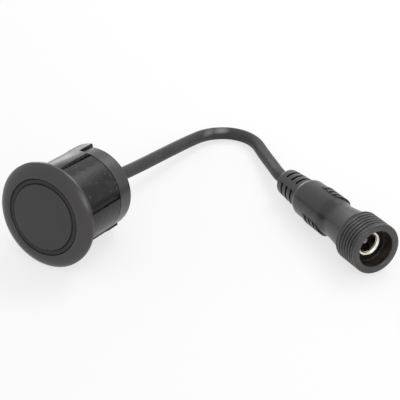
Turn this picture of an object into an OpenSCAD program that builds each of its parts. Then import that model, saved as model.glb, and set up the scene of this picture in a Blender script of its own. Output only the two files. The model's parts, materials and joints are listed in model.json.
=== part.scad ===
// Flush-mount ultrasonic parking sensor with a short pigtail and a round screw-collar connector.
// Millimetres, +Z up. The head lies on its flange rim and its lower finger, with its face towards -Y.
// The connector lies on its collar and its body, to the right of the head and behind it.

/* [Flange] */
// Outside diameter of the flange
flange_d = 25; // [24:0.1:28]
// Thickness of the flange's rim
rim_t = 0.8; // [0.6:0.05:1.2]
// Height of the domed flange over its seat
flange_h = 2.4; // [2.2:0.1:3.2]
// Chamfer on the rear edge of the rim
rim_chamfer = 0.15; // [0.1:0.05:0.3]
// Fillet at the inner edge of the flange
lip_fillet = 0.4; // [0.2:0.05:0.6]
// Angle on the dome's arc where the rim begins
dome_start = 25; // [15:1:40]

/* [Sleeve] */
// Outside diameter of the barrel
barrel_d = 19.8; // [19:0.1:20.4]
// Length of the barrel behind the flange seat
barrel_l = 14.2; // [13:0.1:18]
// Height of the locating land behind the flange over the barrel
land_h = 0.2; // [0.16:0.02:0.3]
// Length of the locating land
land_l = 0.8; // [0.6:0.1:1.5]
// Wall of the barrel
sleeve_wall = 1.1; // [0.9:0.05:1.3]
// Depth of the counterbore for the boot's lip, from the crest of the flange
counterbore_h = 1.7; // [1.2:0.1:2]
// Width of the two key grooves
key_w = 1.1; // [0.8:0.1:2]
// Depth of the two key grooves
key_h = 0.45; // [0.2:0.05:0.6]
// Distance from the locating land to the start of the key grooves
key_start = 1.1; // [0.5:0.1:2]
// Angle from a snap arm to its key groove
key_angle = 95; // [80:1:110]
// Roll of the head about its own axis as it lies
head_roll = 16; // [0:1:40]

/* [Snap arms] */
// Width of an arm
arm_w = 6.8; // [6:0.1:8]
// Width of the slots beside an arm at its root
slot_front = 0.25; // [0.2:0.05:0.4]
// Width of the slots beside an arm at its free end
slot_rear = 0.7; // [0.5:0.05:1]
// Distance from the locating land to the start of the slots
slot_start = 0.1; // [0.1:0.05:1]
// Height of an arm's back over the barrel's skin
arm_rise = 0.45; // [0.3:0.05:0.6]
// Length over which an arm's back rises to that height
arm_ramp = 7; // [5:0.1:9]
// Height of the barb over the arm's back
barb_h = 0.15; // [0.1:0.05:0.4]
// Length of the ramp that leads up to the barb
barb_ramp = 1.8; // [1:0.1:3]
// Width of the finger that carries the barb
finger_w = 4.3; // [3:0.1:4.8]
// Reach of the finger behind the rear ring
finger_over = 0.6; // [0.2:0.05:1]
// Set-in of the arm's raised back from its edges and from the bore
finger_inset = 0.1; // [0.05:0.05:0.2]
// Room round the finger in the rear ring
finger_gap = 0.3; // [0.2:0.05:0.4]

/* [Transducer] */
// Wall of the boot between the barrel and the membrane cup
boot_wall = 0.8; // [0.6:0.05:0.9]
// Depth of the cup
cup_l = 9; // [8:0.1:10]
// Side wall of the cup
cup_wall = 1; // [0.8:0.1:1.2]
// Thickness of the membrane
membrane_t = 0.8; // [0.6:0.05:1]
// Rounding of the face's edge
face_round = 0.3; // [0.1:0.05:0.5]
// Height of the face over the crest of the flange
face_rise = 0.05; // [0:0.05:0.2]
// Width of the boot's visible ring
boot_face_w = 1.2; // [1.1:0.05:1.4]
// Depth of the boot's ring below the crest of the flange
boot_recess = 0.25; // [0.1:0.05:0.4]
// Chamfer on the edges of the boot's ring
boot_chamfer = 0.15; // [0.05:0.05:0.25]
// Thickness of the boot's floor lip behind the cup
boot_floor = 1; // [0.8:0.1:1.4]
// Diameter of the ceramic disc
piezo_d = 7; // [6:0.1:8]
// Thickness of the ceramic disc
piezo_t = 0.4; // [0.2:0.05:0.6]
// Thickness of the felt pad
pad_t = 3; // [2:0.1:3.5]

/* [Terminals] */
// Diameter of the terminal board
board_d = 11.6; // [10.5:0.1:12.6]
// Thickness of the terminal board
board_t = 1; // [0.8:0.1:1.2]
// Resin between the boot and the board
board_gap = 0.6; // [0.4:0.1:1.5]
// Diameter of the two inner leads
lead_d = 0.5; // [0.3:0.05:0.6]
// Diameter of a solder dot
solder_d = 1.1; // [0.9:0.05:1.2]
// Height of a solder dot
solder_h = 0.3; // [0.2:0.05:0.4]
// Diameter of a terminal pin
pin_d = 0.6; // [0.5:0.05:0.7]
// Length of a pin in front of the board
pin_nose = 0.4; // [0.2:0.1:0.8]
// Length of a pin behind the board
pin_tail = 3; // [2:0.1:4]
// Diameter of a pin's collar
pin_collar_d = 1.1; // [0.9:0.05:1.2]
// Thickness of a pin's collar
pin_collar_t = 0.4; // [0.3:0.05:0.6]
// Length of the chip capacitor
chip_l = 3.2; // [2:0.1:4]
// Width of the chip capacitor
chip_w = 1.6; // [1.2:0.1:2]
// Height of the chip capacitor
chip_h = 1.3; // [0.8:0.1:1.6]
// Distance from the pins' collars to the chip capacitor
chip_gap = 0.55; // [0.4:0.05:0.8]

/* [Rear shell] */
// Length of the rear ring
ring_l = 4.5; // [4:0.05:6]
// Width of the groove between the barrel and the rear ring
joint_gap = 0.25; // [0.15:0.05:0.3]
// Chamfer on the ring's rear edges
ring_chamfer = 0.35; // [0.1:0.05:0.5]
// Wall of the inner tube
shell_wall = 0.7; // [0.6:0.05:0.9]
// Room round the inner tube for the arms to bend in
flex_gap = 0.7; // [0.5:0.05:0.8]
// Length of the band that centres the shell in the bore
band_l = 1.25; // [0.8:0.05:2]
// Depth of the resin below the ring's rear face
resin_recess = 0.7; // [0.5:0.05:1]

/* [Grommet] */
// Diameter of the grommet at the resin
grommet_d = 5.4; // [5:0.1:6.5]
// Diameter of the grommet at the cable
grommet_tip_d = 4.2; // [3.8:0.1:4.8]
// Reach of the grommet behind the rear ring
grommet_l = 4.4; // [3:0.1:6]
// Diameter of the grommet's anchor in the resin
anchor_d = 7.4; // [6.8:0.1:8.5]
// Thickness of the anchor
anchor_t = 1; // [0.8:0.1:1.5]
// Resin that covers the anchor
anchor_cover = 1.2; // [0.8:0.1:2]

/* [Cable] */
// Diameter of the cable
cable_d = 3.3; // [2.8:0.1:3.6]
// Diameter of one core
core_d = 0.9; // [0.7:0.05:1]
// Distance between the two cores
core_pitch = 1.3; // [1.25:0.05:1.5]

/* [Connector collar] */
// Thread diameter of the collar
collar_d = 12.2; // [11.5:0.1:13]
// Length of the collar
collar_l = 7.4; // [7:0.1:9]
// Diameter of the socket in the collar
socket_d = 8.7; // [8.5:0.1:9.3]
// Depth of the socket
socket_depth = 3.1; // [2.5:0.1:4]
// Pitch of the thread's ridges
thread_pitch = 1; // [0.75:0.05:1.25]
// Depth of the thread
thread_depth = 0.35; // [0.2:0.05:0.5]
// Width of a thread groove at its mouth
groove_mouth = 0.7; // [0.5:0.05:0.72]
// Width of a thread groove at its root
groove_root = 0.2; // [0.1:0.05:0.3]
// Plain lip in front of the thread
lip_l = 0.7; // [0.5:0.1:1.2]
// Chamfer on the collar's edges
collar_chamfer = 0.3; // [0.1:0.05:0.4]
// Wall of the spigot behind the collar
spigot_wall = 0.45; // [0.35:0.05:0.5]
// Length of the spigot behind the collar
spigot_l = 1.6; // [1.2:0.1:1.8]

/* [Connector body] */
// Overmould over the jack at the waist
waist_wall = 0.45; // [0.4:0.05:0.7]
// Height of the flare behind the collar over the waist
flare_rise = 1.1; // [0.8:0.05:1.3]
// Sharpness of the flare's curve
flare_curve = 1.3; // [1.1:0.1:2]
// Height of the body over the waist
body_rise = 0.45; // [0.2:0.05:0.6]
// Distance from the mouth to the waist
waist_at = 15; // [14:0.1:16]
// Distance from the mouth to the front of the full body
body_at = 18.5; // [17:0.5:20]
// Distance from the mouth to the rear shoulder
shoulder_at = 30.4; // [29:0.1:32]
// Rounding of the rear shoulder
shoulder_round = 2.4; // [1.5:0.1:2.8]
// Diameter of the tail at its root
tail_d = 8.3; // [7.5:0.1:8.6]
// Diameter of the tail at its tip
tail_tip_d = 6.9; // [6:0.1:7.2]
// Rounding of the tail's tip
tail_round = 1; // [0.5:0.1:1.5]
// Turn of the grips and of the tail's slots about the axis
grip_turn = 47; // [0:1:60]

/* [Strain relief slots] */
// Number of slots along each side of the tail
slot_count = 3; // [2:1:3]
// Distance between slots
slot_pitch = 2.3; // [1.8:0.1:2.6]
// Width of a slot
slot_w = 0.8; // [0.5:0.1:1]
// Distance from the shoulder to the first slot
slot_first = 1; // [0.8:0.1:2]
// Plain length of the tail behind the last slot
tail_plain = 2.7; // [2:0.1:5]
// Diameter of the tail inside the slots
slot_core_d = 4.4; // [4:0.1:5]
// Width of the two spines between the slots
spine_w = 2; // [1:0.1:2.4]

/* [Grips] */
// Length of a grip pad
grip_l = 6.4; // [5.5:0.1:8]
// Width of a grip pad
grip_w = 6; // [5:0.1:7]
// Radius of a grip pad's front end
grip_nose = 4.9; // [4:0.1:6]
// Height of a grip pad over the body
grip_h = 0.3; // [0.2:0.05:0.5]
// Distance from the mouth to the middle of the grips
grip_at = 20.7; // [19.5:0.1:22]
// Distance between the ribs of a grip
rib_pitch = 1.8; // [1.2:0.1:2.2]
// Width of the grooves between ribs
rib_groove = 0.8; // [0.4:0.05:1]
// Depth of the grooves between ribs
rib_depth = 0.25; // [0.1:0.05:0.3]

/* [Jack] */
// Diameter of the insulator
jack_d = 7.9; // [7.8:0.05:8.1]
// Length of the insulator
jack_l = 9.9; // [9:0.1:11]
// Rim of the insulator round the sleeve contact's flange
contact_rim = 1.1; // [0.8:0.05:1.15]
// Thickness of the sleeve contact's flange
contact_flange_t = 0.9; // [0.8:0.05:1.2]
// Inside diameter of the sleeve contact
contact_id = 4.1; // [3.9:0.1:4.3]
// Wall of the sleeve contact
contact_wall = 0.45; // [0.35:0.05:0.6]
// Length of the sleeve contact
contact_l = 8.4; // [8:0.1:9]
// Rounding of the sleeve contact's lead-in
contact_round = 0.75; // [0.5:0.05:0.8]
// Diameter of the centre pin
jack_pin_d = 1.7; // [1.5:0.05:1.9]
// Depth of the pin's tip below the contact flange
jack_pin_setback = 1.4; // [1:0.1:2]
// Rounding of the pin's tip
jack_pin_round = 0.5; // [0.3:0.05:0.7]
// Length of the pin behind the insulator
jack_pin_tail = 2.5; // [1.5:0.1:3]
// Length of the bush round the pin
bush_l = 2.5; // [1.5:0.1:3]
// Width of the solder tongue
tongue_w = 1.2; // [0.8:0.1:1.6]
// Thickness of the solder tongue's foot
tongue_t = 0.6; // [0.4:0.1:0.8]

/* [Fits] */
// Clearance all round between pieces that are assembled
fit = 0.05; // [0.02:0.01:0.08]

/* [Hidden] */
$fn = 96;
arc_steps = 8;
cut = 1;

// Radii of the head
flange_r = flange_d / 2;
barrel_r = barrel_d / 2;
bore_r = barrel_r - sleeve_wall;
cup_r = bore_r - boot_wall - 2 * fit;
cup_in_r = cup_r - cup_wall;
counter_r = cup_r + boot_face_w;
crest_r = counter_r + lip_fillet;
land_r = barrel_r + land_h;
arm_r = barrel_r + arm_rise;
barb_r = arm_r + barb_h;
shell_r = bore_r - flex_gap;
shell_in_r = shell_r - shell_wall;
pocket_r = (shell_r + bore_r) / 2 - fit;
far_r = flange_r + cut;

// Levels of the head, measured forwards from the flange seat
face_z = flange_h + face_rise;
cup_floor_z = face_z - membrane_t;
piezo_z = cup_floor_z - piezo_t;
pad_z = piezo_z - pad_t;
cup_z = face_z - cup_l;
boot_z = cup_z - boot_floor;
board_z = boot_z - board_gap;
board_back_z = board_z - board_t;
pin_z = board_back_z - pin_tail;
joint_z = -barrel_l - joint_gap;
ring_z = joint_z - ring_l;
resin_z = ring_z + resin_recess;
grommet_z = ring_z - grommet_l;
finger_z = ring_z - finger_over;
counter_z = flange_h - counterbore_h;
slot_z = -land_l - slot_start;

// Places of the inner leads and cores
signal_x = piezo_d / 4;
ground_x = -piezo_d / 2 - solder_d;
core_x = core_pitch / 2;
chip_y = pin_collar_d / 2 + chip_gap + chip_w / 2;

// The head rests on the rear edge of its rim and on what reaches the floor first behind it
function tilt_on(r, z) = atan((flange_r - r) / (rim_chamfer - z));
finger_low = -arm_w / 2 + finger_inset;
finger_edge = finger_low + finger_w;
finger_side = sqrt(barb_r * barb_r - finger_edge * finger_edge);
finger_drop = finger_edge * sin(head_roll) + finger_side * cos(head_roll);
head_tilt = min(
    tilt_on(finger_drop, finger_z + barb_h), tilt_on(arm_r, -barrel_l),
    tilt_on(barrel_r, ring_z + ring_chamfer)
);
seat_h = flange_r * cos(head_tilt) - rim_chamfer * sin(head_tilt);
front_reach = flange_h * cos(head_tilt) + crest_r * sin(head_tilt);
rear_reach = -grommet_z * cos(head_tilt) + grommet_tip_d / 2 * sin(head_tilt);
seat_y = (front_reach - rear_reach) / 2;

// Radii and stations of the connector, stations measured back from its mouth
collar_r = collar_d / 2;
socket_r = socket_d / 2;
jack_r = jack_d / 2;
spigot_r = jack_r + fit + spigot_wall;
waist_r = jack_r + waist_wall;
body_r = waist_r + body_rise;
contact_in_r = contact_id / 2;
contact_r = contact_in_r + contact_wall;
contact_flange_r = jack_r - contact_rim;
tongue_r = sqrt(contact_r * contact_r - tongue_w * tongue_w / 4);
jack_pin_r = jack_pin_d / 2;
jack_end = socket_depth + jack_l;
contact_end = socket_depth + contact_l;
jack_pin_end = jack_end + jack_pin_tail;
tongue_end = jack_pin_end + 2 * tongue_t;
shoulder_start = shoulder_at - shoulder_round;
last_slot = shoulder_at + slot_first + (slot_count - 1) * slot_pitch;
connector_l = last_slot + slot_w / 2 + tail_plain;
thread_count = floor((collar_l - lip_l - collar_chamfer) / thread_pitch);

// The connector rests on the rear edge of its collar and on what reaches the floor first behind it
collar_edge = collar_l - collar_chamfer / 2;
grip_top_r = body_r + grip_h;
grip_drop = grip_top_r * cos(max(0, 90 - grip_turn - asin(grip_w / 2 / grip_top_r)));
function pitch_on(r, station) = atan((collar_r - r) / (station - collar_edge));
plug_pitch = min(pitch_on(body_r, shoulder_start), pitch_on(grip_drop, grip_at + grip_l / 2));
plug_heading = -33;
plug_axis = [cos(plug_pitch) * cos(plug_heading), cos(plug_pitch) * sin(plug_heading), sin(plug_pitch)];
plug_rest_z = collar_r * cos(plug_pitch) + (collar_edge - connector_l) * sin(plug_pitch);
plug_tail = [33.3, 43.6, plug_rest_z];
mouth = plug_tail + connector_l * plug_axis;

// The cable's ends, and the line that its underside follows between them as it lies
head_axis = [0, cos(head_tilt), -sin(head_tilt)];
cable_start = [0, seat_y, seat_h] - grommet_z * head_axis;
underside = [
    [0, 18.3, 7], [0, 23.3, 6], [0, 28.3, 5.1], [0, 33.3, 4.3], [0.1, 38.3, 3.55], [0.2, 43.3, 2.8],
    [0.3, 47.8, 2.1], [0.5, 51.8, 1.5], [0.8, 55.4, 1], [1.6, 58.5, 0.6], [3.4, 61.2, 0.3], [6, 63.2, 0.1],
    [9.3, 63.9, 0], [12.5, 63.3, 0], [15.5, 61.5, 0.1], [18.2, 58.6, 0.25], [21, 55.7, 0.55],
    [23.8, 52.8, 0.9], [26.6, 49.8, 1.45], [29.5, 46.4, 2.05]
];
route = concat([cable_start], [for (p = underside) p + [0, 0, cable_d / 2]], [plug_tail]);
cable_sides = 8;

function unit(v) = v / norm(v);
function arc(c, r, a, b) = [
    for (i = [0 : arc_steps]) let (t = a + (b - a) * i / arc_steps) c + r * [cos(t), sin(t)]
];
function heading(i) =
    i == 0 ? head_axis :
    i == len(route) - 1 ? plug_axis :
    unit(route[i + 1] - route[i - 1]);

// Colours
plastic_black = [0.16, 0.16, 0.17];
ring_grey = [0.22, 0.22, 0.23];
silicone_black = [0.11, 0.11, 0.12];
paint_black = [0.18, 0.18, 0.19];
cable_black = [0.2, 0.2, 0.21];
nickel = [0.85, 0.83, 0.78];
ceramic = [0.72, 0.68, 0.55];
felt = [0.45, 0.42, 0.36];
laminate = [0.1, 0.35, 0.2];
tin = [0.75, 0.75, 0.73];
copper = [0.75, 0.45, 0.25];
resin = [0.06, 0.06, 0.07];

// Lays a piece of the head down, where its own Z runs out of the face and its Y up
module lay_head() {
    translate([0, seat_y, seat_h]) rotate([90 - head_tilt, 0, 0]) children();
}

// Lays a piece of the connector down, where its own Z runs out of the mouth
module lay_plug() {
    translate(mouth) rotate([0, 90 - plug_pitch, plug_heading]) children();
}

// Repeats a shape at both snap arms, each with the arm along its Y
module each_arm() {
    for (side = [0, 180]) rotate([0, 0, head_roll + side]) children();
}

// A block with its sides given by two corners
module block(low, high) {
    translate(low) cube(high - low);
}

// Everything outside a radius between two levels
module outside(r, low, high) {
    translate([0, 0, low]) difference() {
        cylinder(r = far_r, h = high - low);
        translate([0, 0, -cut]) cylinder(r = r, h = high - low + 2 * cut);
    }
}

// Flange, locating land, barrel and bore as one turned section
module sleeve_section() {
    dome_w = flange_r - crest_r;
    dome_h = flange_h - rim_t;
    dome = [
        for (i = [0 : arc_steps - 1]) let (a = dome_start + (90 - dome_start) * i / arc_steps)
        [crest_r + dome_w * cos(a) / cos(dome_start),
         rim_t + dome_h * (sin(a) - sin(dome_start)) / (1 - sin(dome_start))]
    ];
    rotate_extrude() polygon(concat(
        [[bore_r, -barrel_l], [barrel_r, -barrel_l], [barrel_r, -land_l], [land_r, -land_l],
         [land_r, 0], [flange_r - rim_chamfer, 0], [flange_r, rim_chamfer]],
        dome,
        arc([crest_r, flange_h - lip_fillet], lip_fillet, 90, 180),
        [[counter_r, counter_z], [bore_r, counter_z]]
    ));
}

// A shape drawn across an arm, X along its width and Y along the head's axis, cut through to its back
module across_arm() {
    translate([0, far_r, 0]) rotate([90, 0, 0]) linear_extrude(far_r) children();
}

// The two slots that free an arm from the barrel
module arm_slots() {
    half = arm_w / 2;
    for (side = [-1, 1])
        across_arm() polygon([
            [side * half, slot_z], [side * (half + slot_front), slot_z],
            [side * (half + slot_rear), -barrel_l - cut], [side * half, -barrel_l - cut]
        ]);
}

// The raised back of an arm, which narrows to the barbed finger on its far half
module arm_back() {
    in_r = bore_r + finger_inset;
    root_r = barrel_r - finger_inset;
    root_z = slot_z - slot_front;
    end_z = finger_inset - barrel_l;
    rise = [
        for (i = [0 : arc_steps]) let (t = i / arc_steps)
        [root_r + (arm_r - root_r) * sin(90 * t), root_z - arm_ramp * t]
    ];
    intersection() {
        rotate_extrude() polygon(concat(
            [[in_r, root_z]], rise,
            [[arm_r, -barrel_l], [barb_r, -barrel_l - barb_ramp], [barb_r, finger_z + barb_h],
             [barb_r - barb_h, finger_z], [in_r, finger_z]]
        ));
        across_arm() polygon([
            [finger_low, cut], [-finger_low, cut], [-finger_low, end_z], [finger_edge, end_z],
            [finger_edge, finger_z - cut], [finger_low, finger_z - cut]
        ]);
    }
}

// A groove along the barrel that keys the head in its hole
module key_groove() {
    rotate([0, 0, -key_angle])
        block([-key_w / 2, barrel_r - key_h, -barrel_l - cut], [key_w / 2, far_r, -land_l - key_start]);
}

module housing() {
    color(plastic_black) lay_head() {
        difference() {
            sleeve_section();
            each_arm() arm_slots();
            each_arm() key_groove();
        }
        each_arm() arm_back();
    }
}

module decoupling_boot() {
    in_r = cup_r + fit;
    lip_r = counter_r - fit;
    wall_r = bore_r - fit;
    front_z = flange_h - boot_recess;
    color(silicone_black) lay_head() rotate_extrude() polygon([
        [in_r, front_z - boot_chamfer], [in_r + boot_chamfer, front_z],
        [lip_r - boot_chamfer, front_z], [lip_r, front_z - boot_chamfer],
        [lip_r, counter_z], [wall_r, counter_z], [wall_r, boot_z],
        [cup_in_r, boot_z], [cup_in_r, cup_z], [in_r, cup_z]
    ]);
}

module membrane_cup() {
    color(paint_black) lay_head() rotate_extrude() polygon(concat(
        [[cup_in_r, cup_z], [cup_r, cup_z]],
        arc([cup_r - face_round, face_z - face_round], face_round, 0, 90),
        [[0, face_z], [0, cup_floor_z], [cup_in_r, cup_floor_z]]
    ));
}

module piezo_disc() {
    color(ceramic) lay_head() translate([0, 0, piezo_z]) cylinder(d = piezo_d, h = piezo_t);
}

module absorber_pad() {
    color(felt) lay_head() difference() {
        translate([0, 0, pad_z]) cylinder(r = cup_in_r - fit, h = pad_t);
        for (x = [signal_x, ground_x])
            translate([x, 0, pad_z - cut]) cylinder(d = solder_d + 2 * fit, h = pad_t + 2 * cut);
    }
}

// A straight lead from a solder dot down to the board
module inner_lead(x, top_z) {
    translate([x, 0, board_z]) cylinder(d = lead_d, h = top_z - board_z);
    translate([x, 0, top_z - solder_h]) cylinder(d1 = lead_d, d2 = solder_d, h = solder_h);
}

module signal_lead() {
    color(copper) lay_head() inner_lead(signal_x, piezo_z);
}

module ground_lead() {
    color(tin) lay_head() inner_lead(ground_x, cup_floor_z);
}

module terminal_board() {
    color(laminate) lay_head() difference() {
        translate([0, 0, board_back_z]) cylinder(d = board_d, h = board_t);
        for (x = [-core_x, core_x])
            translate([x, 0, board_back_z - cut]) cylinder(d = pin_d + 2 * fit, h = board_t + 2 * cut);
    }
}

module terminal_pins() {
    color(tin) lay_head() for (x = [-core_x, core_x]) translate([x, 0, 0]) {
        translate([0, 0, pin_z]) cylinder(d = pin_d, h = board_z + pin_nose - pin_z);
        translate([0, 0, board_back_z - pin_collar_t]) cylinder(d = pin_collar_d, h = pin_collar_t);
    }
}

module compensation_capacitor() {
    color(ceramic) lay_head()
        block([-chip_l / 2, chip_y - chip_w / 2, board_back_z - chip_h],
              [chip_l / 2, chip_y + chip_w / 2, board_back_z]);
}

// The grommet's outer form, solid
module grommet_form() {
    anchor_z = resin_z + anchor_cover;
    rotate_extrude() polygon([
        [0, anchor_z + anchor_t], [anchor_d / 2, anchor_z + anchor_t], [anchor_d / 2, anchor_z],
        [grommet_d / 2, anchor_z], [grommet_d / 2, resin_z], [grommet_tip_d / 2, grommet_z],
        [0, grommet_z]
    ]);
}

// One stripped core in the head, from the grommet's end to its pin
module head_core(x) {
    translate([x, 0, grommet_z]) cylinder(d = core_d, h = pin_z - grommet_z);
}

module potting_fill() {
    color(resin) lay_head() difference() {
        rotate_extrude() polygon([
            [0, pad_z], [cup_in_r, pad_z], [cup_in_r, boot_z - fit], [shell_in_r, boot_z - fit],
            [shell_in_r, resin_z], [0, resin_z]
        ]);
        for (x = [signal_x, ground_x]) translate([x, 0, board_z]) cylinder(d = lead_d, h = far_r);
        translate([0, 0, board_back_z]) cylinder(d = board_d, h = board_t);
        for (x = [-core_x, core_x]) {
            translate([x, 0, board_z - cut]) cylinder(d = pin_d, h = pin_nose + cut);
            translate([x, 0, pin_z]) cylinder(d = pin_d, h = pin_tail);
            translate([x, 0, board_back_z - pin_collar_t]) cylinder(d = pin_collar_d, h = pin_collar_t);
            head_core(x);
        }
        block([-chip_l / 2, chip_y - chip_w / 2, board_back_z - chip_h],
              [chip_l / 2, chip_y + chip_w / 2, board_back_z]);
        grommet_form();
    }
}

module rear_shell() {
    half = arm_w / 2;
    band_r = bore_r - fit;
    color(ring_grey) lay_head() difference() {
        rotate_extrude() polygon([
            [shell_in_r, boot_z - fit], [shell_r, boot_z - fit], [shell_r, joint_z + band_l],
            [band_r, joint_z + band_l], [band_r, joint_z], [barrel_r, joint_z],
            [barrel_r, ring_z + ring_chamfer], [barrel_r - ring_chamfer, ring_z],
            [shell_in_r + ring_chamfer, ring_z], [shell_in_r, ring_z + ring_chamfer]
        ]);
        each_arm() intersection() {
            outside(pocket_r, joint_z - joint_gap, joint_z + band_l + cut);
            block([-half - slot_rear, 0, joint_z - cut], [half + slot_rear, far_r, cut]);
        }
        each_arm() intersection() {
            outside(pocket_r, ring_z - cut, joint_z + band_l);
            block([finger_low - finger_gap, 0, ring_z - cut], [finger_edge + finger_gap, far_r, cut]);
        }
    }
}

module cable_grommet() {
    color(cable_black) lay_head() difference() {
        grommet_form();
        for (x = [-core_x, core_x])
            translate([x, 0, grommet_z - cut]) cylinder(d = core_d, h = pin_z - grommet_z + cut);
    }
}

module sensor_signal_core() {
    color(copper) lay_head() head_core(core_x);
}

module sensor_screen_core() {
    color(tin) lay_head() head_core(-core_x);
}

// The cable's sheath, swept along its route
module cable() {
    rings = len(route);
    n = cable_sides;
    skin = [
        for (i = [0 : rings - 1]) let (
            ahead = heading(i), side = unit(cross(ahead, [0, 0, 1])), up = cross(side, ahead)
        ) for (k = [0 : n - 1]) let (a = 360 * k / n)
        route[i] + cable_d / 2 * (cos(a) * side + sin(a) * up)
    ];
    walls = [
        for (i = [0 : rings - 2], k = [0 : n - 1]) let (a = i * n + k, b = i * n + (k + 1) % n)
        each [[a, b, b + n], [a, b + n, a + n]]
    ];
    first = [for (k = [n - 1 : -1 : 0]) k];
    last = [for (k = [0 : n - 1]) (rings - 1) * n + k];
    color(cable_black) polyhedron(points = skin, faces = concat(walls, [first, last]));
}

// One core in the connector, from the tail's end to the station where it is soldered
module plug_core(x, station) {
    translate([x, 0, -connector_l]) cylinder(d = core_d, h = connector_l - station);
}

// The overmould's turned section: flare, waist, body and rounded shoulder
module body_section() {
    flare = [
        for (i = [0 : arc_steps]) let (t = i / arc_steps)
        [waist_r + flare_rise * pow(1 - t, flare_curve), -collar_l - (waist_at - collar_l) * t]
    ];
    swell = [
        for (i = [1 : arc_steps]) let (t = i / arc_steps)
        [waist_r + (body_r - waist_r) * (1 - cos(180 * t)) / 2, -waist_at - (body_at - waist_at) * t]
    ];
    rotate_extrude() polygon(concat(
        [[0, -collar_l]], flare, swell,
        arc([body_r - shoulder_round, -shoulder_start], shoulder_round, 0, -90),
        [[0, -shoulder_at]]
    ));
}

// The tapered tail with its rounded tip
module tail_section() {
    tip_r = tail_tip_d / 2;
    rotate_extrude() polygon(concat(
        [[0, -shoulder_start], [tail_d / 2, -shoulder_start]],
        arc([tip_r - tail_round, -connector_l + tail_round], tail_round, 0, -90),
        [[0, -connector_l]]
    ));
}

// The slots down one side of the tail, between its two spines
module tail_slots() {
    spine_angle = 2 * asin(spine_w / tail_d);
    sweep = 180 - spine_angle;
    for (i = [0 : slot_count - 1])
        translate([0, 0, -shoulder_at - slot_first - i * slot_pitch]) rotate([0, 0, -sweep / 2])
        rotate_extrude(angle = sweep)
        polygon([[slot_core_d / 2, -slot_w / 2], [tail_d, -slot_w / 2], [tail_d, slot_w / 2],
                 [slot_core_d / 2, slot_w / 2]]);
}

// One grip pad with a rounded front end and grooves across it
module grip_pad() {
    front = -grip_at + grip_l / 2;
    grooves = floor((grip_l / 2 - rib_groove) / rib_pitch);
    difference() {
        intersection() {
            translate([0, 0, front - grip_l]) cylinder(r = grip_top_r, h = grip_l + cut);
            translate([0, 0, front - grip_nose]) rotate([0, 90, 0])
                cylinder(r = grip_nose, h = grip_top_r + cut);
            block([0, -grip_w / 2, front - grip_l - cut], [grip_top_r + cut, grip_w / 2, front + cut]);
        }
        for (i = [-grooves : grooves]) translate([0, 0, -grip_at + i * rib_pitch - rib_groove / 2])
            difference() {
                cylinder(r = grip_top_r + cut, h = rib_groove);
                translate([0, 0, -cut]) cylinder(r = grip_top_r - rib_depth, h = rib_groove + 2 * cut);
            }
    }
}

// The solder tongue behind the sleeve contact and its foot beside the axis
module tongue() {
    half = tongue_w / 2;
    foot_in = core_x - core_d / 2;
    block([contact_in_r, -half, -tongue_end], [tongue_r, half, -contact_end + tongue_t]);
    block([foot_in, -half, -tongue_end], [tongue_r, half, -tongue_end + tongue_t]);
}

module connector_body() {
    color(cable_black) lay_plug() difference() {
        union() {
            body_section();
            tail_section();
            for (side = [0, 180]) rotate([0, 0, 90 + grip_turn + side]) grip_pad();
        }
        for (side = [0, 180]) rotate([0, 0, 90 + grip_turn + side]) tail_slots();
        translate([0, 0, -collar_l - spigot_l]) cylinder(r = spigot_r, h = spigot_l + cut);
        translate([0, 0, -jack_end]) cylinder(r = jack_r, h = jack_end);
        translate([0, 0, -jack_pin_end]) cylinder(r = jack_pin_r, h = jack_pin_tail + cut);
        tongue();
        plug_core(-core_x, jack_pin_end);
        plug_core(core_x, tongue_end);
    }
}

// The hard collar: ridged outside, stepped inside, with a spigot in the overmould
module threaded_collar() {
    wide = groove_mouth / 2;
    narrow = groove_root / 2;
    root_r = collar_r - thread_depth;
    ridges = [
        for (i = [0 : thread_count - 1]) let (z = -lip_l - (i + 0.5) * thread_pitch)
        each [[collar_r, z + wide], [root_r, z + narrow], [root_r, z - narrow], [collar_r, z - wide]]
    ];
    color(plastic_black) lay_plug() rotate_extrude() polygon(concat(
        [[socket_r + collar_chamfer, 0], [collar_r - collar_chamfer, 0], [collar_r, -collar_chamfer]],
        ridges,
        [[collar_r, -collar_edge], [collar_r - collar_chamfer / 2, -collar_l], [spigot_r, -collar_l],
         [spigot_r, -collar_l - spigot_l], [jack_r + fit, -collar_l - spigot_l],
         [jack_r + fit, -socket_depth], [socket_r, -socket_depth], [socket_r, -collar_chamfer]]
    ));
}

module jack_insulator() {
    seat_r = contact_flange_r + fit;
    seat = -socket_depth - contact_flange_t;
    color(resin) lay_plug() difference() {
        rotate_extrude() polygon([
            [seat_r, -socket_depth], [jack_r, -socket_depth], [jack_r, -jack_end],
            [jack_pin_r + fit, -jack_end], [jack_pin_r + fit, -contact_end],
            [contact_r + fit, -contact_end], [contact_r + fit, seat], [seat_r, seat]
        ]);
        block([contact_in_r - fit, -tongue_w / 2 - fit, -jack_end - cut],
              [contact_r + fit, tongue_w / 2 + fit, -contact_end + cut]);
    }
}

module sleeve_contact() {
    color(nickel) lay_plug() {
        rotate_extrude() polygon(concat(
            arc([contact_in_r + contact_round, -socket_depth - contact_round], contact_round, 180, 90),
            [[contact_flange_r, -socket_depth], [contact_flange_r, -socket_depth - contact_flange_t],
             [contact_r, -socket_depth - contact_flange_t], [contact_r, -contact_end],
             [contact_in_r, -contact_end]]
        ));
        tongue();
    }
}

module pin_insulator() {
    color(silicone_black) lay_plug() translate([0, 0, -contact_end]) difference() {
        cylinder(r = contact_in_r - fit, h = bush_l);
        translate([0, 0, -cut]) cylinder(r = jack_pin_r + fit, h = bush_l + 2 * cut);
    }
}

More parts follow.
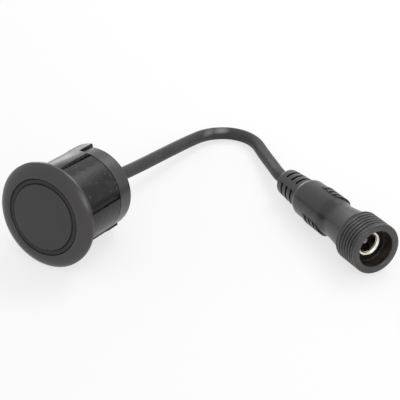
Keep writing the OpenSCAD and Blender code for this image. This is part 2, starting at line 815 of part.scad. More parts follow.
module centre_pin() {
    tip = -socket_depth - jack_pin_setback;
    color(nickel) lay_plug() rotate_extrude() polygon(concat(
        [[0, -jack_pin_end], [jack_pin_r, -jack_pin_end]],
        arc([jack_pin_r - jack_pin_round, tip - jack_pin_round], jack_pin_round, 0, 90),
        [[0, tip]]
    ));
}

module plug_signal_core() {
    color(copper) lay_plug() plug_core(-core_x, jack_pin_end);
}

module plug_screen_core() {
    color(tin) lay_plug() plug_core(core_x, tongue_end);
}

housing();
decoupling_boot();
membrane_cup();
piezo_disc();
absorber_pad();
signal_lead();
ground_lead();
terminal_board();
terminal_pins();
compensation_capacitor();
potting_fill();
rear_shell();
cable_grommet();
sensor_signal_core();
sensor_screen_core();
cable();
connector_body();
threaded_collar();
jack_insulator();
sleeve_contact();
pin_insulator();
centre_pin();
plug_signal_core();
plug_screen_core();
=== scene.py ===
import bmesh
import bpy
import json
import math
from mathutils import Matrix, Quaternion, Vector


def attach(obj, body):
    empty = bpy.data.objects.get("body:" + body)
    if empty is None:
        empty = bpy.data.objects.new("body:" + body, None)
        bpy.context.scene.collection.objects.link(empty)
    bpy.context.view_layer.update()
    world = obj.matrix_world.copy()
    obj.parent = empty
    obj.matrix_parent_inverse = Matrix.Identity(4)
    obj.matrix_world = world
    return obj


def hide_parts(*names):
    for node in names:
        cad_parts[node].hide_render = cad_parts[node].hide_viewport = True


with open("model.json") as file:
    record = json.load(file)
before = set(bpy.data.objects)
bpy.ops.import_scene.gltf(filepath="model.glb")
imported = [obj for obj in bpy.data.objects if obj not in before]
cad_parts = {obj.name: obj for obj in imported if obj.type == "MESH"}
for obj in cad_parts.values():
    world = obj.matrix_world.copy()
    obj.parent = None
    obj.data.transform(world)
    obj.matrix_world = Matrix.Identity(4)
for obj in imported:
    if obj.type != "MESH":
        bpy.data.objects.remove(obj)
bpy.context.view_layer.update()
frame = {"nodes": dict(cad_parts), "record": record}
nodes = frame["nodes"]
mounts = {m["name"]: m for m in frame["record"]["mounts"]}
mm = 0.001
print("frame loaded:", len(nodes), "nodes")


# places on the object, from the mounts that the record states
def localFrame(origin, outward):
    z = Vector(outward).normalized()
    x = Vector((0, 0, 1)).cross(z).normalized()
    axes = Matrix((x, z.cross(x), z)).transposed().to_4x4()
    return Matrix.Translation(origin) @ axes


def mountPoint(name, along):  # a point on a mount's axis, so many mm from the stated one
    return Vector(mounts[name]["pos_m"]) + Vector(mounts[name]["axis"]) * along * mm


head = {
    "landHalf": 0.4,  # the barrel mount is stated at the middle of the land behind the flange
    "grommetTip": 23.35,  # behind the flange seat
}
plug = {
    "mouthAhead": 1.7,  # the socket mount is stated at the middle of its wall
    "tailEnd": 39.1,  # behind the mouth
}
headAxis = Vector(mounts["barrel"]["axis"])  # from the face to the cable
plugAxis = Vector(mounts["socket_mouth"]["axis"])  # out of the mouth
headFrame = localFrame(mountPoint("barrel", -head["landHalf"]), -headAxis)
plugFrame = localFrame(mountPoint("socket_mouth", plug["mouthAhead"]), plugAxis)


# camera, at the photograph's viewing angle
view = {
    "position": (144.24, -192.14, 152.06),  # mm, fitted to the outlines of flange, cable and connector
    "forward": (-0.43029, 0.74573, -0.50866),
    "roll": 0.25,  # degrees
    "lens": 108,
    "sensor": 36,
    "clip": (0.01, 20),  # m
}
camera = bpy.data.objects.new("camera", bpy.data.cameras.new("camera"))
camera.data.lens = view["lens"]
camera.data.sensor_width = view["sensor"]
camera.data.clip_start, camera.data.clip_end = view["clip"]
camera.location = Vector(view["position"]) * mm
aim = Vector(view["forward"]).to_track_quat("-Z", "Y")
camera.rotation_euler = (aim @ Quaternion((0, 0, 1), math.radians(view["roll"]))).to_euler()
bpy.context.scene.collection.objects.link(camera)
bpy.context.scene.camera = camera
bpy.context.scene.view_settings.view_transform = "Standard"
print("camera set")


# materials
def linear(hexColour):
    shares = [int(hexColour[i:i + 2], 16) / 255 for i in (1, 3, 5)]
    return [c / 12.92 if c <= 0.04045 else ((c + 0.055) / 1.055) ** 2.4 for c in shares] + [1]


def perMm(size):  # texture scale for a pattern that repeats about every so many mm
    return 1 / (size * mm)


def addNode(tree, kind, settings={}, inputs={}):
    node = tree.nodes.new("ShaderNode" + kind)
    for name, value in settings.items():
        setattr(node, name, value)
    for name, value in inputs.items():
        if isinstance(value, bpy.types.NodeSocket):
            tree.links.new(value, node.inputs[name])
        else:
            node.inputs[name].default_value = value
    return node


def startMaterial(name):
    material = bpy.data.materials.new(name)
    material.use_nodes = True
    return material, material.node_tree, material.node_tree.nodes["Principled BSDF"]


def paintedHighlightPatch(tree, coords, colour, paintedHighlight):  # a painted highlight: a pale spot laid on the top of a bend
    place = addNode(tree, "Mapping", inputs={
        "Vector": coords,
        "Location": [-at / reach for at, reach in zip(paintedHighlight["at"], paintedHighlight["reach"])],
        "Scale": [perMm(reach) for reach in paintedHighlight["reach"]]})
    fade = addNode(tree, "TexGradient", {"gradient_type": "SPHERICAL"}, {"Vector": place.outputs["Vector"]})
    return addNode(tree, "Mix", {"data_type": "RGBA"}, {
        0: fade.outputs["Fac"], 6: colour, 7: linear(paintedHighlight["colour"])}).outputs[2]


moulded = {
    "cloudFrom": 0.35, "cloudTo": 0.65,  # where the noise turns from the dark to the light body colour
    "dustSpread": 3,  # fleck spacings to a patch of dust
    "dustFrom": 0.52, "dustTo": 0.75,
    "fleckCore": 0.1, "fleckRim": 0.2,  # of a fleck's cell
    "sheenFrom": 0.3, "sheenTo": 0.7, "sheenSpread": 0.05,  # roughness goes up and down with the clouds
    "grainDepth": 0.2,  # of the grain's width
}
plain = {"fleckShare": 0.02, "film": 0.05, "paintedHighlight": []}  # unless a finish says otherwise


def blackMoulding(name, ownFinish):
    # injection-moulded or extruded black polymer: a dark body colour under a thin clear sheen,
    # a fine grain that breaks the sheen up, cloudy patches and a few pale flecks of dust;
    # the grain is drawn coarser than the mould's own, so that it shows
    m, finish = moulded, {**plain, **ownFinish}
    material, tree, shader = startMaterial(name)
    coords = addNode(tree, "TexCoord").outputs["Object"]
    cloud = addNode(tree, "TexNoise", inputs={
        "Vector": coords, "Scale": perMm(finish["cloud"]), "Detail": 3.0})
    ramp = addNode(tree, "ValToRGB", inputs={"Fac": cloud.outputs["Fac"]})
    ramp.color_ramp.elements[0].position = m["cloudFrom"]
    ramp.color_ramp.elements[0].color = linear(finish["dark"])
    ramp.color_ramp.elements[1].position = m["cloudTo"]
    ramp.color_ramp.elements[1].color = linear(finish["light"])
    dust = addNode(tree, "TexNoise", inputs={
        "Vector": coords, "Scale": perMm(finish["fleckEvery"] * m["dustSpread"]), "Detail": 8.0})
    film = addNode(tree, "MapRange", inputs={
        "Value": dust.outputs["Fac"], "From Min": m["dustFrom"], "From Max": m["dustTo"],
        "To Min": 0.0, "To Max": finish["film"]})
    cells = addNode(tree, "TexVoronoi", inputs={"Vector": coords, "Scale": perMm(finish["fleckEvery"])})
    speck = addNode(tree, "MapRange", inputs={
        "Value": cells.outputs["Distance"], "From Min": m["fleckCore"], "From Max": m["fleckRim"],
        "To Min": 1.0, "To Max": 0.0})
    pick = addNode(tree, "SeparateColor", inputs={"Color": cells.outputs["Color"]})
    chosen = addNode(tree, "Math", {"operation": "LESS_THAN"}, {
        0: pick.outputs["Red"], 1: finish["fleckShare"]})
    fleck = addNode(tree, "Math", {"operation": "MULTIPLY"}, {
        0: speck.outputs["Result"], 1: chosen.outputs[0]})
    cover = addNode(tree, "Math", {"operation": "MAXIMUM"}, {
        0: fleck.outputs[0], 1: film.outputs["Result"]})
    colour = addNode(tree, "Mix", {"data_type": "RGBA"}, {
        0: cover.outputs[0], 6: ramp.outputs["Color"], 7: linear(finish["fleck"])}).outputs[2]
    # painted highlights: pale spots laid over the body colour where a finish lists them
    for paintedHighlight in finish["paintedHighlight"]:
        colour = paintedHighlightPatch(tree, coords, colour, paintedHighlight)
    grain = addNode(tree, "TexNoise", inputs={
        "Vector": coords, "Scale": perMm(finish["grain"]), "Detail": 2.0})
    rough = addNode(tree, "MapRange", inputs={
        "Value": cloud.outputs["Fac"], "From Min": m["sheenFrom"], "From Max": m["sheenTo"],
        "To Min": finish["rough"] - m["sheenSpread"], "To Max": finish["rough"] + m["sheenSpread"]})
    bump = addNode(tree, "Bump", inputs={
        "Height": grain.outputs["Fac"], "Strength": finish["bump"],
        "Distance": finish["grain"] * mm * m["grainDepth"]})
    tree.links.new(colour, shader.inputs["Base Color"])
    tree.links.new(rough.outputs["Result"], shader.inputs["Roughness"])
    tree.links.new(bump.outputs["Normal"], shader.inputs["Normal"])
    shader.inputs["IOR"].default_value = finish["ior"]
    return material


plated = {
    "dullFrom": 0.3, "brightFrom": 0.6,  # of the patchy noise
    "sheenFrom": 0.3, "sheenTo": 0.7, "rougher": 0.06, "smoother": 0.04,  # dull patches scatter more light
    "bump": 0.15, "markDepth": 0.1,  # of a turning mark's width
}


def platedMetal(name, finish):
    # nickel or tin plate over turned brass: bright, a little warm, with fine turning marks and dull patches
    m = plated
    material, tree, shader = startMaterial(name)
    coords = addNode(tree, "TexCoord").outputs["Object"]
    patch = addNode(tree, "TexNoise", inputs={
        "Vector": coords, "Scale": perMm(finish["patch"]), "Detail": 4.0})
    ramp = addNode(tree, "ValToRGB", inputs={"Fac": patch.outputs["Fac"]})
    ramp.color_ramp.elements[0].position = m["dullFrom"]
    ramp.color_ramp.elements[0].color = linear(finish["dull"])
    ramp.color_ramp.elements[1].position = m["brightFrom"]
    ramp.color_ramp.elements[1].color = linear(finish["bright"])
    rough = addNode(tree, "MapRange", inputs={
        "Value": patch.outputs["Fac"], "From Min": m["sheenFrom"], "From Max": m["sheenTo"],
        "To Min": finish["rough"] + m["rougher"], "To Max": finish["rough"] - m["smoother"]})
    marks = addNode(tree, "TexNoise", inputs={
        "Vector": coords, "Scale": perMm(finish["marks"]), "Detail": 1.0})
    bump = addNode(tree, "Bump", inputs={
        "Height": marks.outputs["Fac"], "Strength": m["bump"],
        "Distance": finish["marks"] * mm * m["markDepth"]})
    tree.links.new(ramp.outputs["Color"], shader.inputs["Base Color"])
    tree.links.new(rough.outputs["Result"], shader.inputs["Roughness"])
    tree.links.new(bump.outputs["Normal"], shader.inputs["Normal"])
    shader.inputs["Metallic"].default_value = 1.0
    return material


dry = {
    "darkTo": 0.35, "lightFrom": 0.65,  # of the mottle
    "depth": 0.3,  # of the mottle's width
}


def drySolid(name, finish):
    # fired ceramic, felt, laminate or wire insulation: matte, with a visible texture of its own
    material, tree, shader = startMaterial(name)
    coords = addNode(tree, "TexCoord").outputs["Object"]
    mottle = addNode(tree, "TexNoise", inputs={
        "Vector": coords, "Scale": perMm(finish["mottle"]), "Detail": finish["detail"]})
    ramp = addNode(tree, "ValToRGB", inputs={"Fac": mottle.outputs["Fac"]})
    ramp.color_ramp.elements[0].position = dry["darkTo"]
    ramp.color_ramp.elements[0].color = linear(finish["dark"])
    ramp.color_ramp.elements[1].position = dry["lightFrom"]
    ramp.color_ramp.elements[1].color = linear(finish["light"])
    bump = addNode(tree, "Bump", inputs={
        "Height": mottle.outputs["Fac"], "Strength": finish["bump"],
        "Distance": finish["mottle"] * mm * dry["depth"]})
    tree.links.new(ramp.outputs["Color"], shader.inputs["Base Color"])
    tree.links.new(bump.outputs["Normal"], shader.inputs["Normal"])
    shader.inputs["Roughness"].default_value = finish["rough"]
    return material


# cloud, grain, fleckEvery, patch, marks, mottle, at and reach are in mm
polymers = {
    # primer sprayed on the moulded flange, ready for the bumper's colour: low gloss, a warm dark grey
    "primedPolyamide": {
        "dark": "#302d2d", "light": "#353232", "fleck": "#4c4a49", "fleckEvery": 0.9,
        "cloud": 6, "grain": 0.22, "bump": 0.12, "rough": 0.34, "ior": 1.53},
    # the same primer on drawn aluminium: flatter, so the face shows as one even tone
    "primedAluminium": {
        "dark": "#343233", "light": "#383637", "fleck": "#4c4a4a", "fleckEvery": 1.1,
        "cloud": 7, "grain": 0.18, "bump": 0.15, "rough": 0.5, "ior": 1.44},
    # the moulded barrel: near black and glossy, dusty from handling
    "glassFilledPolyamide": {
        "dark": "#060606", "light": "#111112", "fleck": "#8d8d8c", "fleckEvery": 0.6, "fleckShare": 0.2,
        "cloud": 2.5, "grain": 0.3, "bump": 0.15, "rough": 0.3, "ior": 1.36, "film": 0.045},
    # the arms' backs rub clean in the bumper's hole, so they carry no dust
    "rubbedPolyamide": {
        "dark": "#0b0b0b", "light": "#111112", "fleck": "#5d5d5c", "fleckEvery": 0.6,
        "cloud": 5, "grain": 0.3, "bump": 0.08, "rough": 0.3, "ior": 1.36, "film": 0.0},
    # the moulded rear shell: satin, a shade lighter than the barrel
    "greyPolyamide": {
        "dark": "#282829", "light": "#313132", "fleck": "#77777a", "fleckEvery": 0.9, "fleckShare": 0.03,
        "cloud": 3, "grain": 0.25, "bump": 0.12, "rough": 0.32, "ior": 1.5},
    # the moulded boot: dull, so it draws a dark ring round the face
    "siliconeRubber": {
        "dark": "#2c2b2c", "light": "#323132", "fleck": "#444344", "fleckEvery": 0.7, "fleckShare": 0.05,
        "cloud": 4, "grain": 0.15, "bump": 0.3, "rough": 0.6, "ior": 1.36},
    # the extruded sheath: matte and even, with two painted highlights on the top of its bend
    "cableVinyl": {
        "dark": "#3e3d3e", "light": "#464546", "fleck": "#5a5959", "fleckEvery": 1.2,
        "cloud": 5, "grain": 0.3, "bump": 0.1, "rough": 0.45, "ior": 1.2, "paintedHighlight": [
            {"at": (1.8, 58.0, 3.3), "reach": (2.6, 3.0, 0.75), "colour": "#858484"},
            {"at": (4.4, 61.2, 3.1), "reach": (2.9, 2.6, 0.75), "colour": "#959494"}]},
    # the soft moulding round the joint: satin, with one broad sheen along its length
    "overmouldVinyl": {
        "dark": "#1e1d1f", "light": "#262527", "fleck": "#5a5a5a", "fleckEvery": 1.4,
        "cloud": 6, "grain": 0.28, "bump": 0.12, "rough": 0.3, "ior": 1.5},
    # the hard moulded collar: lighter than the soft body, and its crests shine
    "collarPolyamide": {
        "dark": "#383636", "light": "#423f3f", "fleck": "#585655", "fleckEvery": 1.0,
        "cloud": 4, "grain": 0.22, "bump": 0.12, "rough": 0.27, "ior": 1.5},
    # roots of the thread: the same polyamide drawn darker, as painted shade in the grooves
    "threadRootPaintedShade": {
        "dark": "#1d1c1c", "light": "#292827", "fleck": "#585655", "fleckEvery": 1.0,
        "cloud": 3, "grain": 0.2, "bump": 0.15, "rough": 0.45, "ior": 1.42},
    # inside of the mouth: the collar's polyamide drawn darker and browner, as painted shade of the deep
    # mouth
    "socketPaintedShade": {
        "dark": "#1f1a17", "light": "#3a3129", "fleck": "#4a3e31", "fleckEvery": 0.8, "fleckShare": 0.04,
        "cloud": 2, "grain": 0.2, "bump": 0.15, "rough": 0.4, "ior": 1.42},
    # the insulators: brown-black and semi-matte, so the hole round the pin looks deep
    "jackPolymer": {
        "dark": "#0d0a07", "light": "#17110a", "fleck": "#3a2d1c", "fleckEvery": 0.6, "fleckShare": 0.05,
        "cloud": 2, "grain": 0.2, "bump": 0.2, "rough": 0.4, "ior": 1.36},
    # cast resin: black and smooth, with the slow waves of a liquid that has set
    "pottingResin": {
        "dark": "#0e0e0f", "light": "#151516", "fleck": "#2a2a2a", "fleckEvery": 1.5, "fleckShare": 0.05,
        "cloud": 4, "grain": 0.8, "bump": 0.3, "rough": 0.25, "ior": 1.5},
}
metals = {
    # turned and plated sleeve: the brightest thing on the part
    "nickelPlate": {"bright": "#f3ede2", "dull": "#cfc6b6", "patch": 1.2, "marks": 0.08, "rough": 0.16},
    # pin that has been plugged in and out: grey and dull
    "wornTin": {"bright": "#a39a9f", "dull": "#6f686b", "patch": 0.7, "marks": 0.06, "rough": 0.36},
    # dipped pins and wires: satin
    "tinPlate": {"bright": "#d9d8d4", "dull": "#a9a8a3", "patch": 0.8, "marks": 0.06, "rough": 0.34},
    "tinnedCopper": {"bright": "#d8b48a", "dull": "#a77a52", "patch": 0.6, "marks": 0.05, "rough": 0.3},
}
solids = {
    # fired and ground: cream, with a fine speckle
    "piezoCeramic": {
        "dark": "#b7a988", "light": "#c9bd9c", "mottle": 0.4, "detail": 4.0, "bump": 0.2, "rough": 0.55},
    # matted fibres: rough and uneven
    "needledFelt": {
        "dark": "#5b554a", "light": "#8a8272", "mottle": 0.25, "detail": 8.0, "bump": 0.9, "rough": 0.95},
    # green lacquer over glass cloth
    "glassLaminate": {
        "dark": "#174a2b", "light": "#1f6038", "mottle": 0.5, "detail": 2.0, "bump": 0.2, "rough": 0.4},
    # fired chip: tan and dense
    "chipCeramic": {
        "dark": "#8c6f4a", "light": "#a88760", "mottle": 0.3, "detail": 3.0, "bump": 0.2, "rough": 0.5},
    # extruded round the cores: smooth satin
    "brownInsulation": {
        "dark": "#4a2c18", "light": "#573520", "mottle": 0.8, "detail": 2.0, "bump": 0.1, "rough": 0.5},
    "whiteInsulation": {
        "dark": "#d4d2ca", "light": "#e2e0d9", "mottle": 0.8, "detail": 2.0, "bump": 0.1, "rough": 0.5},
}
finishes = {name: blackMoulding(name, finish) for name, finish in polymers.items()}
finishes.update({name: platedMetal(name, finish) for name, finish in metals.items()})
finishes.update({name: drySolid(name, finish) for name, finish in solids.items()})
print("materials made:", len(finishes))


# what every piece goes through
edges = {
    "weld": 1e-7,  # m, vertices closer than this are one
    "sharpFrom": 32, "roundedFrom": 35,  # degrees between two faces
    "segments": 2,
}


def dressPiece(piece, finishNames, replaced):
    for finishName in finishNames:
        piece.data.materials.append(finishes[finishName])
    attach(piece, "root")
    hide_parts(*replaced)
    return piece


def newPiece(name, bm, finishNames, replaced):
    mesh = bpy.data.meshes.new(name)
    bm.to_mesh(mesh)
    bm.free()
    piece = bpy.data.objects.new(name, mesh)
    bpy.context.scene.collection.objects.link(piece)
    return dressPiece(piece, finishNames, replaced)


def smoothFaces(bm, sharpAngle):
    for edge in bm.edges:
        edge.smooth = edge.calc_face_angle(0) < math.radians(sharpAngle)
    for face in bm.faces:
        face.smooth = True


def mergedNode(nodeName):  # a node's triangles joined up into one surface
    bm = bmesh.new()
    bm.from_mesh(nodes[nodeName].data)
    bmesh.ops.remove_doubles(bm, verts=bm.verts, dist=edges["weld"])
    return bm


def softenEdges(piece, radius):  # the small radius that every moulded or turned edge has
    bevel = piece.modifiers.new("edgeRadius", "BEVEL")
    bevel.width = radius * mm
    bevel.segments = edges["segments"]
    bevel.limit_method = "ANGLE"
    bevel.angle_limit = math.radians(edges["roundedFrom"])
    bevel.harden_normals = True


# the cable, along the points that the solid's route has
cable = {
    "diameter": 3.3,
    "length": 87.8,  # mm, grommet to tail, all of it in the photograph
    "straightOut": 1.6, "straightIn": 1.4,  # mm out of the grommet and into the tail
    "underside": [
        (0, 18.3, 7), (0, 23.3, 6), (0, 28.3, 5.1), (0, 33.3, 4.3), (0.1, 38.3, 3.55), (0.2, 43.3, 2.8),
        (0.3, 47.8, 2.1), (0.5, 51.8, 1.5), (0.8, 55.4, 1), (1.6, 58.5, 0.6), (3.4, 61.2, 0.3),
        (6, 63.2, 0.1), (9.3, 63.9, 0), (12.5, 63.3, 0), (15.5, 61.5, 0.1), (18.2, 58.6, 0.25),
        (21, 55.7, 0.55), (23.8, 52.8, 0.9), (26.6, 49.8, 1.45), (29.5, 46.4, 2.05),
    ],
    "stepsAlong": 8, "stepsRound": 6,
}
cableStart = headFrame @ Vector((0, 0, -head["grommetTip"] * mm))
cableEnd = plugFrame @ Vector((0, 0, -plug["tailEnd"] * mm))
cableLift = Vector((0, 0, cable["diameter"] / 2))
cablePoints = [cableStart, cableStart + headAxis * cable["straightOut"] * mm]
cablePoints += [(Vector(p) + cableLift) * mm for p in cable["underside"]]
cablePoints += [cableEnd - plugAxis * cable["straightIn"] * mm, cableEnd]
cableCurve = bpy.data.curves.new("cableJacket", "CURVE")
cableCurve.dimensions = "3D"
cableCurve.resolution_u = cable["stepsAlong"]
cableCurve.bevel_depth = cable["diameter"] / 2 * mm
cableCurve.bevel_resolution = cable["stepsRound"]
cableCurve.use_fill_caps = True
cableSpline = cableCurve.splines.new("NURBS")
cableSpline.points.add(len(cablePoints) - 1)
for point, place in zip(cableSpline.points, cablePoints):
    point.co = (*place, 1)
cableSpline.order_u = 4
cableSpline.use_endpoint_u = True
cableJacket = bpy.data.objects.new("cableJacket", cableCurve)
bpy.context.scene.collection.objects.link(cableJacket)
dressPiece(cableJacket, ["cableVinyl"], ["cable"])
print("cable laid: %.2f mm" % (cableSpline.calc_length() / mm))


# the collar with its running thread
collar = {
    "radius": 6.1, "rootRadius": 5.75, "socketRadius": 4.35, "socketDepth": 3.1, "jackRadius": 4.0,
    "length": 7.4, "spigotRadius": 4.45, "spigotLength": 1.6, "chamfer": 0.3,
    "lip": 0.7, "rearLip": 0.2, "runOut": 0.35,
    "edge": 0.1, "edgeFrom": 30, "edgeSegments": 3, "steps": 128,
    "pitch": 1.0, "turns": 6.1, "lead": 0.15,  # the thread starts so many pitches behind the lip
    "crest": 0.3,  # width of a ridge's top
    "foot": 0.37, "sunk": 0.1,  # half the ridge's foot, in pitches, and how far it goes under the root
    "crestEdge": 0.05, "crestFrom": 40, "crestSegments": 2, "stepsPerTurn": 96,
    "boreReach": 0.05, "rootReach": 0.03,  # how near a face lies to the bore or the root to take the painted shade there
    "sharpFrom": 35,
}


def spunSection(section, turn):  # a closed section (radius, height) in mm, spun round the axis
    bm = bmesh.new()
    ring = [bm.verts.new((r * mm, 0, z * mm)) for r, z in section]
    sides = [bm.edges.new(pair) for pair in zip(ring, ring[1:] + ring[:1])]
    bmesh.ops.spin(bm, geom=ring + sides, cent=(0, 0, 0), axis=(0, 0, 1), dvec=(0, 0, turn["rise"]),
                   angle=turn["angle"], steps=turn["steps"], use_merge=turn["closed"], use_duplicate=False)
    return bm


def roundRims(bm, radius, sharpAngle, segments):
    rims = [e for e in bm.edges if e.calc_face_angle(0) > math.radians(sharpAngle)]
    bmesh.ops.bevel(bm, geom=rims, offset=radius * mm, offset_type="OFFSET", affect="EDGES",
                    segments=segments, profile=0.5, material=-1, clamp_overlap=True)


def makeThread(c):
    start = -c["lip"] - c["pitch"] * c["lead"]
    low, high = c["rootRadius"] - c["sunk"], c["radius"]
    half, top = c["pitch"] * c["foot"], c["crest"] / 2
    steps = int(c["stepsPerTurn"] * c["turns"])
    bm = spunSection(
        [(low, start + half), (high, start + top), (high, start - top), (low, start - half)],
        {"rise": -c["pitch"] * c["turns"] * mm / steps, "angle": math.tau * c["turns"],
         "steps": steps, "closed": False})
    bmesh.ops.holes_fill(bm, edges=bm.edges, sides=4)
    bmesh.ops.recalc_face_normals(bm, faces=bm.faces)
    roundRims(bm, c["crestEdge"], c["crestFrom"], c["crestSegments"])
    mesh = bpy.data.meshes.new("thread")
    bm.to_mesh(mesh)
    bm.free()
    return mesh


def makeCollar(c):
    rear = -c["length"]
    bm = spunSection([
        (c["socketRadius"], -c["chamfer"]), (c["socketRadius"] + c["chamfer"], 0),
        (c["radius"] - c["chamfer"], 0), (c["radius"], -c["chamfer"]), (c["radius"], -c["lip"]),
        (c["rootRadius"], -c["lip"] - c["runOut"]), (c["rootRadius"], rear + c["runOut"] + c["rearLip"]),
        (c["radius"], rear + c["rearLip"]), (c["radius"], rear), (c["spigotRadius"], rear),
        (c["spigotRadius"], rear - c["spigotLength"]), (c["jackRadius"], rear - c["spigotLength"]),
        (c["jackRadius"], -c["socketDepth"]), (c["socketRadius"], -c["socketDepth"])],
        {"rise": 0, "angle": math.tau, "steps": c["steps"], "closed": True})
    bmesh.ops.remove_doubles(bm, verts=bm.verts, dist=edges["weld"])
    bmesh.ops.recalc_face_normals(bm, faces=bm.faces)
    roundRims(bm, c["edge"], c["edgeFrom"], c["edgeSegments"])
    thread = makeThread(c)
    bm.from_mesh(thread)
    bpy.data.meshes.remove(thread)
    for face in bm.faces:
        reach = face.calc_center_median().xy.length / mm
        # faces in the bore take a painted shade of the deep mouth
        inside = reach < c["socketRadius"] + c["boreReach"]
        # faces at the thread's root take a painted shade of the grooves
        root = abs(reach - c["rootRadius"]) < c["rootReach"]
        face.material_index = 1 if inside else 2 if root else 0
    smoothFaces(bm, c["sharpFrom"])
    bm.transform(plugFrame)
    return newPiece("screwCollar", bm, ["collarPolyamide", "socketPaintedShade", "threadRootPaintedShade"],
                    ["threaded_collar"])


screwCollar = makeCollar(collar)
print("collar turned")


# the housing: painted flange, bare barrel and rubbed backs of the arms
housing = {
    "edgeRadius": 0.08,
    "paintedFrom": -0.05,  # mm ahead of the flange seat
    "land": -1, "skin": 9.93,  # the arms' backs stand over the barrel's skin, behind the land
}


def makeHousing(h):
    bm = mergedNode("housing")
    inward = headFrame.inverted()
    for face in bm.faces:
        place = inward @ face.calc_center_median() / mm
        raised = place.z < h["land"] and place.xy.length > h["skin"]
        face.material_index = 0 if place.z > h["paintedFrom"] else 2 if raised else 1
    smoothFaces(bm, edges["sharpFrom"])
    piece = newPiece("sensorHousing", bm, ["primedPolyamide", "glassFilledPolyamide", "rubbedPolyamide"],
                     ["housing"])
    softenEdges(piece, h["edgeRadius"])


makeHousing(housing)
print("housing dressed")


# moulded and turned pieces that keep their solid's shape and get its edges rounded
mouldings = {
    "decouplingBoot": {
        "node": "decoupling_boot", "finish": "siliconeRubber", "slot": "black_silicone", "edgeRadius": 0.06},
    "membraneCup": {
        "node": "membrane_cup", "finish": "primedAluminium", "slot": "painted_aluminium",
        "edgeRadius": 0.06},
    "rearShell": {
        "node": "rear_shell", "finish": "greyPolyamide", "slot": "grey_polyamide", "edgeRadius": 0.08},
    "cableGrommet": {
        "node": "cable_grommet", "finish": "cableVinyl", "slot": "cable_rubber", "edgeRadius": 0.2},
    "pottingFill": {
        "node": "potting_fill", "finish": "pottingResin", "slot": "potting_resin", "edgeRadius": 0.05},
    "connectorBody": {
        "node": "connector_body", "finish": "overmouldVinyl", "slot": "overmould_elastomer",
        "edgeRadius": 0.2},
    "jackInsulator": {
        "node": "jack_insulator", "finish": "jackPolymer", "slot": "jack_polymer", "edgeRadius": 0.05},
    "sleeveContact": {
        "node": "sleeve_contact", "finish": "nickelPlate", "slot": "nickel_plate", "edgeRadius": 0.08},
    "centrePin": {
        "node": "centre_pin", "finish": "wornTin", "slot": "nickel_plate", "edgeRadius": 0.05},
}
pieces = {}
for name, moulding in mouldings.items():
    bm = mergedNode(moulding["node"])
    smoothFaces(bm, edges["sharpFrom"])
    pieces[name] = newPiece(name, bm, [moulding["finish"]], [moulding["node"]])
    softenEdges(pieces[name], moulding["edgeRadius"])
print("mouldings dressed:", len(pieces))


# sealed pieces keep their solids
sealed = {
    "piezo_disc": "piezoCeramic", "absorber_pad": "needledFelt", "signal_lead": "tinnedCopper",
    "ground_lead": "tinnedCopper", "terminal_board": "glassLaminate", "terminal_pins": "tinPlate",
    "compensation_capacitor": "chipCeramic", "sensor_signal_core": "brownInsulation",
    "sensor_screen_core": "whiteInsulation", "pin_insulator": "jackPolymer",
    "plug_signal_core": "brownInsulation", "plug_screen_core": "whiteInsulation",
}
for nodeName, finishName in sealed.items():
    nodes[nodeName].data.materials.clear()
    nodes[nodeName].data.materials.append(finishes[finishName])
print("sealed pieces dressed:", len(sealed))


# floor, light and surroundings
studio = {
    "floorSize": 4.0, "floorLift": -0.00002,  # m
    "paper": "#f4f4f4", "paperRough": 0.9,
    "shadow": 0.3,  # share of the floor's look that the lamps make, the rest is plain white
    "surround": 0.7,  # strength of the white room on matte surfaces
}


def seenDirectly(tree):  # 1 where the eye, a reflection or glass sees it, 0 where it only lights the part
    path = addNode(tree, "LightPath")
    direct = addNode(tree, "Math", {"operation": "MAXIMUM"}, {
        0: path.outputs["Is Camera Ray"], 1: path.outputs["Is Glossy Ray"]})
    return addNode(tree, "Math", {"operation": "MAXIMUM"}, {
        0: direct.outputs[0], 1: path.outputs["Is Transmission Ray"]}).outputs[0]


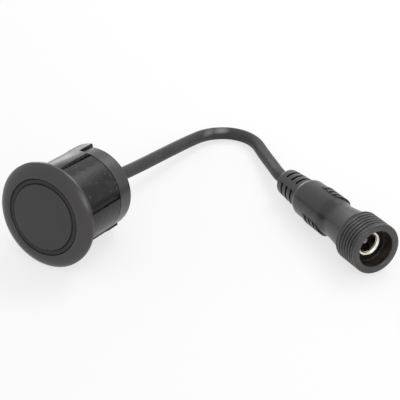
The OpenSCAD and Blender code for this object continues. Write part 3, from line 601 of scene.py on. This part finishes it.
def makeFloor(s):
    bm = bmesh.new()
    bmesh.ops.create_grid(bm, x_segments=1, y_segments=1, size=s["floorSize"] / 2)
    bmesh.ops.translate(bm, verts=bm.verts, vec=(0, 0, s["floorLift"]))
    mesh = bpy.data.meshes.new("floor")
    bm.to_mesh(mesh)
    bm.free()
    floor = bpy.data.objects.new("floor", mesh)
    bpy.context.scene.collection.objects.link(floor)
    material, tree, shader = startMaterial("whitePaper")
    shader.inputs["Base Color"].default_value = linear(s["paper"])
    shader.inputs["Roughness"].default_value = s["paperRough"]
    share = addNode(tree, "Math", {"operation": "MULTIPLY"}, {0: seenDirectly(tree), 1: 1 - s["shadow"]})
    glow = addNode(tree, "Emission", inputs={"Color": (1, 1, 1, 1), "Strength": 1.0})
    mix = addNode(tree, "MixShader", inputs={0: share.outputs[0], 1: shader.outputs[0], 2: glow.outputs[0]})
    tree.links.new(mix.outputs[0], tree.nodes["Material Output"].inputs["Surface"])
    mesh.materials.append(material)


def makeRoom(s):
    world = bpy.data.worlds.new("surroundings")
    world.use_nodes = True
    tree = world.node_tree
    strength = addNode(tree, "MapRange", inputs={
        "Value": seenDirectly(tree), "To Min": s["surround"], "To Max": 1.0})
    background = tree.nodes["Background"]
    background.inputs["Color"].default_value = (1, 1, 1, 1)
    tree.links.new(strength.outputs["Result"], background.inputs["Strength"])
    bpy.context.scene.world = world


makeFloor(studio)
makeRoom(studio)

softboxes = {
    "overhead": {"position": (87, 278, 352), "aim": (10, 20, 0), "size": (200, 200), "watts": 0.65},
    "backLeft": {"position": (-265, 340, 58), "aim": (0, 5, 20), "size": (200, 100), "watts": 0.22},
    "front": {"position": (330, -160, 200), "aim": (60, 20, 6), "size": (140, 140), "watts": 0.3},
}
for name, box in softboxes.items():
    lamp = bpy.data.lights.new(name, "AREA")
    lamp.shape = "RECTANGLE"
    lamp.size, lamp.size_y = (side * mm for side in box["size"])
    lamp.energy = box["watts"]
    stand = bpy.data.objects.new(name, lamp)
    stand.location = Vector(box["position"]) * mm
    toAim = Vector(box["aim"]) - Vector(box["position"])
    stand.rotation_euler = toAim.to_track_quat("-Z", "Y").to_euler()
    bpy.context.scene.collection.objects.link(stand)
print("studio lit")
